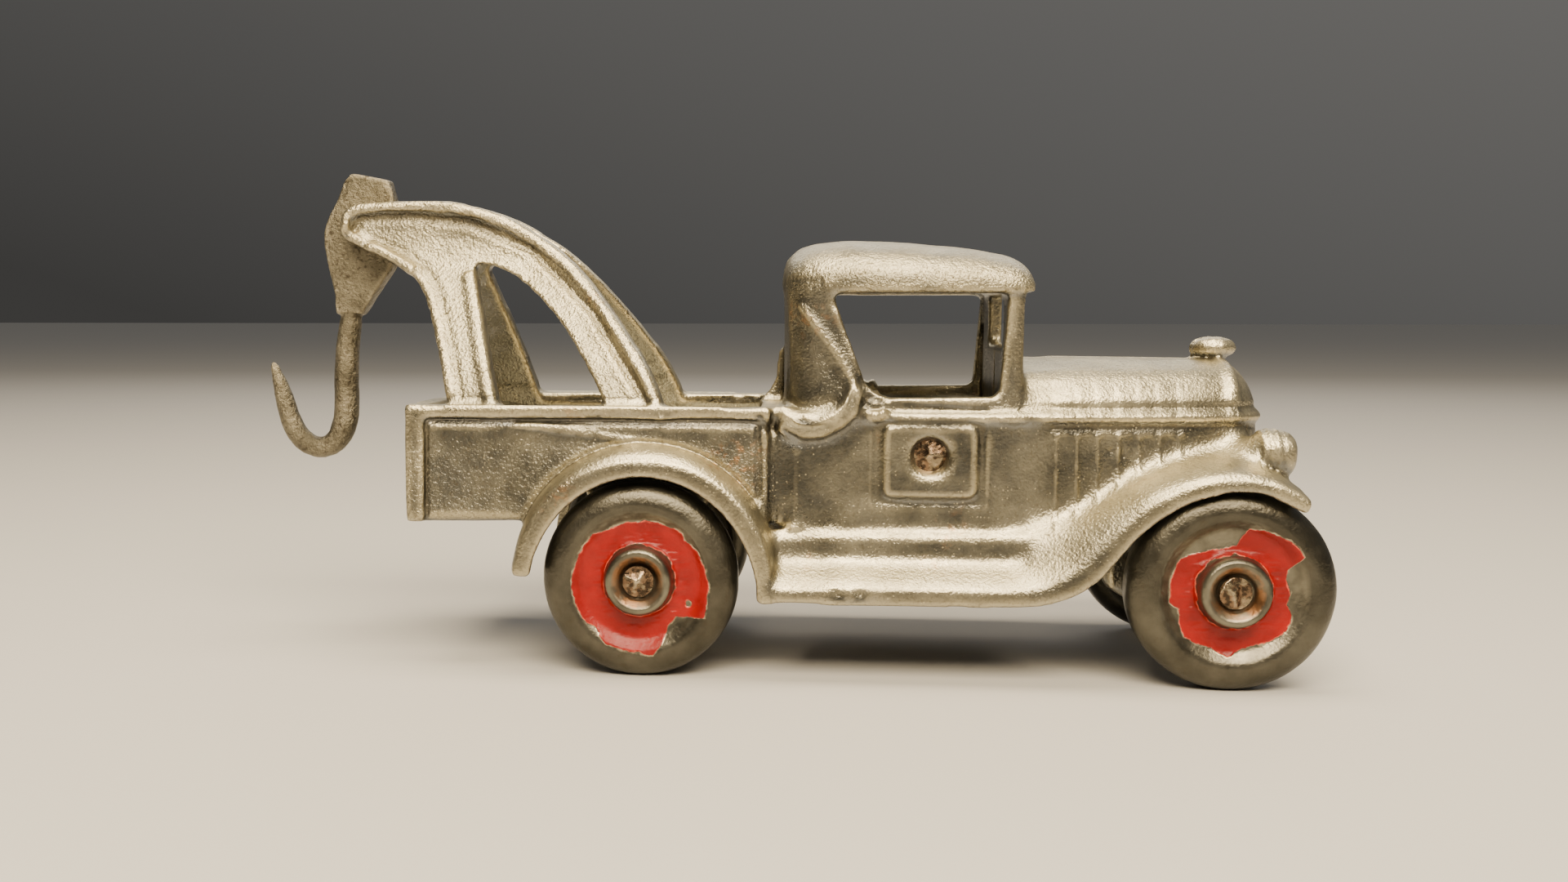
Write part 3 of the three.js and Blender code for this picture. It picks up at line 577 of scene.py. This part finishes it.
# Ragged outer edge of the red paint: angle in degrees from the front, anticlockwise, and radius in mm.
PAINT_EDGES = {
    "rear_right": [
        (0, 8.9),
        (28, 8.3),
        (42, 7.8),
        (48, 8.3),
        (62, 7.9),
        (90, 7.6),
        (122, 7.5),
        (135, 8.4),
        (165, 8.4),
        (215, 8.9),
        (228, 8.4),
        (242, 9.2),
        (270, 9.3),
        (281, 9.8),
        (290, 8.7),
        (300, 7.2),
        (315, 6.7),
        (323, 7.8),
        (331, 9.6),
        (345, 9.1),
    ],
    "front_right": [
        (0, 6.9),
        (14, 6.4),
        (23, 7.0),
        (29, 9.2),
        (36, 9.3),
        (60, 8.5),
        (78, 7.9),
        (87, 5.6),
        (105, 5.4),
        (125, 5.9),
        (150, 7.4),
        (192, 7.7),
        (200, 6.8),
        (225, 8.1),
        (252, 7.6),
        (266, 8.2),
        (281, 7.2),
        (300, 7.5),
        (325, 8.0),
        (338, 7.6),
        (346, 6.6),
    ],
    "rear_left": [
        (0, 8.4),
        (40, 8.8),
        (75, 7.4),
        (95, 8.6),
        (150, 8.2),
        (200, 9.1),
        (232, 6.9),
        (250, 8.8),
        (310, 8.3),
    ],
    "front_left": [
        (0, 7.6),
        (35, 8.5),
        (80, 8.9),
        (120, 7.2),
        (160, 8.6),
        (215, 8.1),
        (262, 9.2),
        (290, 6.6),
        (320, 8.4),
    ],
}
# Bare spots in the paint: angle, radius, size in mm.
PAINT_CHIPS = {
    "rear_right": [(-25, 7.05, 0.42)],
    "front_right": [(-13, 7.2, 0.3)],
    "rear_left": [(120, 6.8, 0.5), (30, 7.3, 0.35)],
    "front_left": [(200, 6.4, 0.4)],
}
PAINT_DEPTH = 0.11  # how far the film stands off the metal
PAINT_HUB_EDGE = 4.62  # mean radius at which the paint stops short of the hub


def eased(points, steps):
    """A smooth curve through 2-D points, passing each one."""
    ends = [points[0], *points, points[-1]]
    curve = []
    for p0, p1, p2, p3 in zip(ends, ends[1:], ends[2:], ends[3:]):
        p0, p1, p2, p3 = (np.array(p) for p in (p0, p1, p2, p3))
        for step in range(steps):
            t = step / steps
            blend = 2 * p1 + (p2 - p0) * t + (2 * p0 - 5 * p1 + 4 * p2 - p3) * t**2
            curve.append((blend + (3 * p1 - p0 - 3 * p2 + p3) * t**3) / 2)
    return [*curve, np.array(points[-1], float)]


def wheel_section():
    """The section's points at about even spacing, fine enough across the painted disc for ragged paint."""
    corners = [*WHEEL_INNER, *WHEEL_TYRE, *WHEEL_DISC, *WHEEL_HUB, *WHEEL_BORE]
    curve = np.array(eased(corners, 8))
    spans = np.linalg.norm(np.diff(curve, axis=0), axis=1)
    painted = (curve[:-1, 1] > OUTER_FACE) & (curve[:-1, 0] < 10.6)
    fine, coarse = 0.11, 0.3  # mm between points on the painted disc and elsewhere
    travel = np.concatenate([[0], np.cumsum(spans / np.where(painted, fine, coarse))])
    even = np.linspace(0, travel[-1], int(travel[-1]) + 1)
    return np.stack([np.interp(even, travel, curve[:, axis]) for axis in (0, 1)], 1)


def paint_inside(radius, angle, key, seed):
    """Distance in mm inside the paint's ragged edge, negative where the metal is bare."""
    degrees, edges = zip(*[*PAINT_EDGES[key], (360, PAINT_EDGES[key][0][1])])
    turned = np.degrees(angle) % 360
    # The noise is read round a ring of one size, so that it has no seam.
    circle = np.stack([8 * np.cos(angle), 8 * np.sin(angle), radius], 1)
    ragged = 0.26 * cast_noise(circle, 0.9, seed, 3)
    inside = np.interp(turned, degrees, edges) + ragged - radius
    for chip_angle, chip_radius, size in PAINT_CHIPS[key]:
        turn = math.radians(chip_angle)
        apart = np.hypot(
            radius * np.cos(angle) - chip_radius * math.cos(turn),
            radius * np.sin(angle) - chip_radius * math.sin(turn),
        )
        inside = np.minimum(inside, apart - size - ragged)
    hub_edge = PAINT_HUB_EDGE + 0.25 * cast_noise(circle, 1.6, seed + 9, 2)
    return np.minimum(inside, radius - hub_edge)


def wheel(end, side_name, seed, material):
    """A cast wheel with a film of red paint, raised a little, on its outer disc."""
    node = f"wheel_{end}_{side_name}"
    side = -1 if side_name == "right" else 1
    section = wheel_section()
    turns = np.linspace(0, 2 * math.pi, WHEEL_TURNS, endpoint=False)
    radius, angle = (grid.ravel() for grid in np.meshgrid(section[:, 0], turns, indexing="ij"))
    out = np.repeat(section[:, 1], WHEEL_TURNS)
    disc = (out > OUTER_FACE) & (radius < 10.4)
    inside = np.where(disc, paint_inside(radius, angle, f"{end}_{side_name}", seed), -2)
    film = smooth_step(-0.05, 0.1, inside)
    lifted = bump_of(inside - 0.16, 0.14)
    circle = np.stack([radius * np.cos(angle), radius * np.sin(angle), out], 1)
    brushed = cast_noise(circle * [0.6, 2.2, 1], 1.4, seed + 3, 2) * bump_of(radius - 5.4, 1.1)
    out = out + PAINT_DEPTH * film * (1 + 0.7 * lifted * cast_noise(circle, 1.5, seed + 4, 1) + 1.5 * brushed)
    uneven = (0.04 * cast_noise(circle, 4, seed + 6, 2) - 0.02) * smooth_step(8.8, 11, radius)
    radius = radius + uneven
    out = out + uneven * smooth_step(15, 18, out)

    middle = AXLE_X + (WHEELBASE if end == "front" else 0)
    along, up = radius * np.cos(angle), radius * np.sin(angle)
    points = inside_box(np.stack([middle + along, side * out, AXLE_HEIGHT + up], 1), node)
    rows = len(section)
    row, turn = np.meshgrid(np.arange(rows), np.arange(WHEEL_TURNS), indexing="ij")
    after = (row + 1) % rows
    beside = (turn + 1) % WHEEL_TURNS
    corners = [row * WHEEL_TURNS + turn, after * WHEEL_TURNS + turn]
    corners += [after * WHEEL_TURNS + beside, row * WHEEL_TURNS + beside]
    faces = np.stack([corner.ravel() for corner in corners], 1)
    mesh = mesh_from("wheel", points * MM, faces if side < 0 else faces[:, ::-1])
    add_fields(mesh, {"paint": inside, "reach": radius})
    mesh.shade_smooth()
    obj = bpy.data.objects.new(f"cast_{node}", mesh)
    bpy.context.scene.collection.objects.link(obj)
    return placed(obj, material, node, "wheel_iron", node)


# ---- Materials ----
class Shader:
    """Short names for building one procedural material."""

    def __init__(self, name):
        self.material = bpy.data.materials.new(name)
        self.material.use_nodes = True
        self.tree = self.material.node_tree
        self.surface = self.tree.nodes["Principled BSDF"]
        self.place = self.node("ShaderNodeTexCoord").outputs["Object"]

    def node(self, kind, inputs=None, **settings):
        """A new node with its settings made and its inputs given values or links."""
        made = self.tree.nodes.new(kind)
        for key, value in settings.items():
            setattr(made, key, value)
        for key, value in (inputs or {}).items():
            self.feed(made.inputs[key], value)
        return made

    def feed(self, socket, value):
        if isinstance(value, bpy.types.NodeSocket):
            self.tree.links.new(value, socket)
        elif isinstance(value, tuple) and len(value) == 3 and len(socket.default_value) == 4:
            socket.default_value = (*value, 1)
        else:
            socket.default_value = value

    def noise(self, size, detail=3.0, roughness=0.55):
        """Noise from 0 to 1 with features about `size` mm across."""
        inputs = {"Vector": self.place, "Scale": 1 / (size * MM), "Detail": detail, "Roughness": roughness}
        return self.node("ShaderNodeTexNoise", inputs).outputs["Fac"]

    def pebbles(self, size, feature="F1"):
        """Distance from the middles of random cells about `size` mm across."""
        inputs = {"Vector": self.place, "Scale": 1 / (size * MM)}
        return self.node("ShaderNodeTexVoronoi", inputs, feature=feature).outputs["Distance"]

    def field(self, name):
        """A value stored on the mesh by add_fields."""
        return self.node("ShaderNodeAttribute", attribute_name=name).outputs["Fac"]

    def ramp(self, value, low, high, to_low=0.0, to_high=1.0):
        """The value carried from one range to another, and held at its ends."""
        inputs = {"Value": value, "From Min": low, "From Max": high, "To Min": to_low, "To Max": to_high}
        return self.node("ShaderNodeMapRange", inputs).outputs["Result"]

    def mix(self, amount, first, second):
        """One colour blended into another. The mix node's colour sockets are inputs 6 and 7 and output 2."""
        made = self.node("ShaderNodeMix", data_type="RGBA")
        self.feed(made.inputs[0], amount)
        self.feed(made.inputs[6], first)
        self.feed(made.inputs[7], second)
        return made.outputs[2]

    def maths(self, operation, first, second=0.0):
        made = self.node("ShaderNodeMath", operation=operation)
        self.feed(made.inputs[0], first)
        self.feed(made.inputs[1], second)
        return made.outputs["Value"]

    def bump(self, height, depth_mm, strength=1.0, under=None):
        """The normal of a bumpy surface, laid over the normal `under` if one is given."""
        inputs = {"Height": height, "Distance": depth_mm * MM, "Strength": strength}
        if under is not None:
            inputs["Normal"] = under
        return self.node("ShaderNodeBump", inputs).outputs["Normal"]

    def finish(self, **sockets):
        """Sets the surface's sockets, named with _ for each space, and gives back the material."""
        for name, value in sockets.items():
            self.feed(self.surface.inputs[name.replace("_", " ")], value)
        return self.material


def worn_nickel_painted_light():
    """Nickel plate: the bright plate on up-facing faces and the dull plate on upright faces are partly rubbed
    wear and partly painted highlight and shade; edges are bright with wear and painted highlight, corners
    carry painted shade, and the grain carries a painted glint.
    """
    s = Shader("worn_nickel_painted_light")
    edge = s.field("edge")
    rough = s.field("rough")
    # The worn field's bright plate on up-facing faces and dull plate on upright faces are partly painted
    # highlight and painted shade.
    worn = s.maths("ADD", s.field("worn"), s.ramp(s.noise(3.5, 5), 0.3, 0.7, -0.14, 0.14))
    dull = s.mix(s.ramp(s.noise(9, 5), 0.38, 0.64), (0.07, 0.0675, 0.056), (0.12, 0.115, 0.096))
    bright = s.mix(s.ramp(s.noise(6, 4), 0.35, 0.65), (0.47, 0.42, 0.285), (0.61, 0.55, 0.385))
    colour = s.mix(s.ramp(worn, 0.0, 1.0), dull, bright)
    # Down-facing faces take a neutral grey: a painted shade tone.
    colour = s.mix(s.field("under"), colour, (0.2, 0.203, 0.195))
    # Edges brighter: partly rubbed wear, partly painted highlight.
    colour = s.mix(s.ramp(edge, 0.2, 0.9, 0, 0.55), colour, (0.70, 0.61, 0.40))
    # Corners and grooves darker: painted shade.
    colour = s.mix(s.ramp(edge, -0.3, -1.0, 0, 0.4), colour, (0.08, 0.064, 0.038))
    specks = s.ramp(s.noise(0.4, 3), 0.54, 0.66)
    colour = s.mix(s.maths("MULTIPLY", specks, s.ramp(rough, 0.2, 1, 0.3, 0.65)), colour, (0.11, 0.09, 0.055))
    # Painted glint: bright spots on the grain that stand in for caught light.
    painted_glint_spots = s.ramp(s.pebbles(0.6), 0.24, 0.1, 0, 0.5)
    painted_glints = s.maths("MULTIPLY", painted_glint_spots, s.ramp(s.noise(2.2, 2), 0.5, 0.62))
    colour = s.mix(painted_glints, colour, (0.74, 0.65, 0.44))
    rust = s.maths("MULTIPLY", s.ramp(s.noise(14, 2), 0.62, 0.7), s.ramp(s.noise(1.1, 4), 0.5, 0.64, 0, 0.5))
    colour = s.mix(rust, colour, (0.40, 0.20, 0.08))
    roughness = s.ramp(s.noise(5, 4), 0.3, 0.7, 0.26, 0.38)
    roughness = s.maths("ADD", roughness, s.ramp(rough, 0.3, 1, 0, 0.03))
    depth = s.maths("MULTIPLY", s.noise(0.34, 2.5, 0.55), s.ramp(rough, 0.2, 1, 0.34, 1.25))
    dimpled = s.ramp(rough, 0.3, 0.8, 0.3, 0.6)
    normal = s.bump(s.pebbles(0.55, "SMOOTH_F1"), 0.15, dimpled, s.bump(depth, 0.26, 0.85))
    return s.finish(Base_Color=colour, Metallic=0.93, Roughness=roughness, Normal=normal)


def hook_iron():
    """Dark grainy iron with paler edges."""
    s = Shader("hook_iron")
    edge = s.field("edge")
    colour = s.mix(s.ramp(s.noise(4, 5), 0.35, 0.66), (0.102, 0.09, 0.062), (0.235, 0.208, 0.147))
    colour = s.mix(s.ramp(edge, 0.1, 0.7, 0, 0.6), colour, (0.50, 0.44, 0.31))
    colour = s.mix(s.ramp(s.noise(0.6, 3), 0.55, 0.68, 0, 0.75), colour, (0.055, 0.042, 0.026))
    normal = s.bump(s.pebbles(0.8, "SMOOTH_F1"), 0.22, 0.6, s.bump(s.noise(0.4, 4, 0.65), 0.32, 1.0))
    roughness = s.ramp(s.noise(1.2, 3), 0.3, 0.7, 0.26, 0.46)
    return s.finish(Base_Color=colour, Metallic=0.9, Roughness=roughness, Normal=normal)


def rusty_steel():
    """Brown rusted steel with some bare patches."""
    s = Shader("rusty_steel")
    edge = s.field("edge")
    colour = s.mix(s.ramp(s.noise(0.8, 4), 0.42, 0.6), (0.05, 0.034, 0.022), (0.22, 0.14, 0.085))
    colour = s.mix(s.ramp(s.noise(1.7, 2), 0.54, 0.6, 0, 0.45), colour, (0.42, 0.34, 0.22))
    colour = s.mix(s.ramp(edge, 0.1, 0.6, 0, 0.7), colour, (0.58, 0.49, 0.34))
    normal = s.bump(s.noise(0.35, 3, 0.6), 0.1, 0.7)
    roughness = s.ramp(s.noise(0.8), 0.3, 0.7, 0.16, 0.36)
    return s.finish(Base_Color=colour, Metallic=0.9, Roughness=roughness, Normal=normal)


def wheel_iron():
    """Dark worn iron under red paint, with rust in the hub and bright metal where the paint has chipped."""
    s = Shader("wheel_iron")
    reach = s.field("reach")
    paint = s.maths("ADD", s.field("paint"), s.ramp(s.noise(0.25, 2), 0.3, 0.7, -0.04, 0.04))
    metal = s.mix(s.ramp(s.noise(6, 5), 0.36, 0.66), (0.062, 0.057, 0.044), (0.122, 0.113, 0.088))
    metal = s.mix(s.ramp(s.noise(1.3, 4), 0.56, 0.74, 0, 0.35), metal, (0.07, 0.056, 0.035))
    rust = s.maths("MULTIPLY", s.ramp(reach, 3.45, 3.1), s.ramp(s.noise(1.2, 3), 0.34, 0.5, 0.2, 0.9))
    metal = s.mix(rust, metal, (0.34, 0.15, 0.055))
    # Nearly black inside the hub's bore: painted shade.
    metal = s.mix(s.ramp(reach, 2.5, 2.2, 0, 0.9), metal, (0.025, 0.015, 0.01))
    bare = s.maths("MULTIPLY", s.ramp(reach, 9.1, 8.5, 0, 0.6), s.ramp(s.noise(4, 3), 0.4, 0.6, 0.15, 1))
    metal = s.mix(bare, metal, (0.27, 0.25, 0.19))
    near_paint = s.maths("MULTIPLY", s.ramp(paint, -0.22, -0.1), s.ramp(reach, 6.5, 7.2))
    bright = s.maths("MULTIPLY", near_paint, s.ramp(s.noise(1.6, 2), 0.45, 0.6, 0, 0.8))
    metal = s.mix(bright, metal, (0.50, 0.44, 0.31))
    red = s.mix(s.ramp(s.noise(3.5, 4), 0.35, 0.68), (0.19, 0.001, 0.0005), (0.30, 0.003, 0.0015))
    red = s.mix(s.ramp(s.noise(0.5, 3), 0.6, 0.75, 0, 0.4), red, (0.22, 0.004, 0.003))
    rim = s.maths("MULTIPLY", s.ramp(paint, 0.16, 0.04), s.ramp(s.noise(0.9, 2), 0.42, 0.58))
    red = s.mix(rim, red, (0.62, 0.10, 0.06))
    painted = s.ramp(paint, -0.01, 0.02)
    normal = s.bump(s.noise(1.6, 2), 0.12, 0.5, s.bump(s.noise(0.4, 3, 0.6), 0.07, 0.6))
    satin = s.ramp(s.noise(3, 4), 0.3, 0.7, 0.29, 0.4)
    gloss = s.ramp(s.noise(2), 0.3, 0.7, 0.3, 0.45)
    return s.finish(
        Base_Color=s.mix(painted, metal, red),
        Metallic=s.ramp(painted, 0, 1, 0.92, 0.0),
        Roughness=s.mix(painted, satin, gloss),
        Specular_IOR_Level=0.35,
        Normal=normal,
    )


# ---- Build ----
nickel = worn_nickel_painted_light()
body_half("body_half_right", "casting_right", 10, nickel)
body_half("body_half_left", "casting_left", 20, nickel)
tow_hook(hook_iron())
rusty = rusty_steel()
hammered_pin("body_rivet", "beaten_rivet", "truck_body", RIVET_HEAD, 3, rusty)
hammered_pin("rear_axle", "beaten_axle_rear", "rear_axle", AXLE_HEAD, 7, rusty)
hammered_pin("front_axle", "beaten_axle_front", "front_axle", AXLE_HEAD, 12, rusty)
iron = wheel_iron()
for wheel_seed, (wheel_end, wheel_side) in enumerate(
    [("rear", "right"), ("front", "right"), ("rear", "left"), ("front", "left")]
):
    wheel(wheel_end, wheel_side, 40 + 10 * wheel_seed, iron)


# ---- Stage ----
LIGHTS_AIM = Vector((0, 0, 0.02))


def studio():
    """A plain pale floor."""
    size = 4.0
    corners = [(-size, -size, 0), (size, -size, 0), (size, size, 0), (-size, size, 0)]
    floor = bpy.data.meshes.new("floor")
    floor.from_pydata(corners, [], [(0, 1, 2, 3)])
    obj = bpy.data.objects.new("floor", floor)
    bpy.context.scene.collection.objects.link(obj)
    s = Shader("floor")
    obj.data.materials.append(s.finish(Base_Color=(0.52, 0.505, 0.48), Roughness=0.8))


def room():
    """A soft room that is pale overhead and in front of the truck, and dim near the floor behind it."""
    world = bpy.data.worlds.new("room")
    world.use_nodes = True
    tree = world.node_tree
    place = tree.nodes.new("ShaderNodeTexCoord")
    lean = tree.nodes.new("ShaderNodeVectorMath")
    lean.operation = "DOT_PRODUCT"
    lean.inputs[1].default_value = (0.35, 0.05, 0.95)
    shade = tree.nodes.new("ShaderNodeMapRange")
    tree.links.new(place.outputs["Generated"], lean.inputs[0])
    tree.links.new(lean.outputs["Value"], shade.inputs["Value"])
    shade.inputs["From Min"].default_value = -0.1
    shade.inputs["From Max"].default_value = 0.9
    shade.inputs["To Min"].default_value = 0.05
    shade.inputs["To Max"].default_value = 0.25
    tree.nodes["Background"].inputs["Color"].default_value = (1, 0.97, 0.92, 1)
    tree.links.new(shade.outputs["Result"], tree.nodes["Background"].inputs["Strength"])
    bpy.context.scene.world = world


def soft_light(name, place, width, height, power, colour):
    """A rectangle of light, in metres and watts, that points at the truck."""
    data = bpy.data.lights.new(name, "AREA")
    data.shape = "RECTANGLE"
    data.size = width
    data.size_y = height
    data.energy = power
    data.color = colour
    obj = bpy.data.objects.new(name, data)
    obj.location = place
    obj.rotation_euler = (LIGHTS_AIM - Vector(place)).to_track_quat("-Z", "Y").to_euler()
    bpy.context.scene.collection.objects.link(obj)


def camera():
    """A camera close to the truck's right side, tipped and turned a little."""
    data = bpy.data.cameras.new("camera")
    data.sensor_width = 36
    data.lens = 35.175
    data.shift_x = 0.0922
    data.clip_start = 0.01
    data.clip_end = 50
    obj = bpy.data.objects.new("camera", data)
    obj.location = (0.00585, -0.2132, 0.0477)
    turn, tip = math.radians(6.28), math.radians(5.03)
    aim = Vector((-math.sin(turn) * math.cos(tip), math.cos(turn) * math.cos(tip), -math.sin(tip)))
    obj.rotation_euler = aim.to_track_quat("-Z", "Y").to_euler()
    bpy.context.scene.collection.objects.link(obj)
    bpy.context.scene.camera = obj


studio()
room()
soft_light("key", (0.05, -0.4, 0.44), 0.55, 0.28, 9, (1, 0.83, 0.58))
soft_light("top", (0.0, -0.02, 0.58), 0.45, 0.25, 4.5, (1, 0.84, 0.6))
soft_light("back", (0.0, 0.62, 0.42), 0.8, 0.26, 1.4, (1, 0.94, 0.86))
camera()
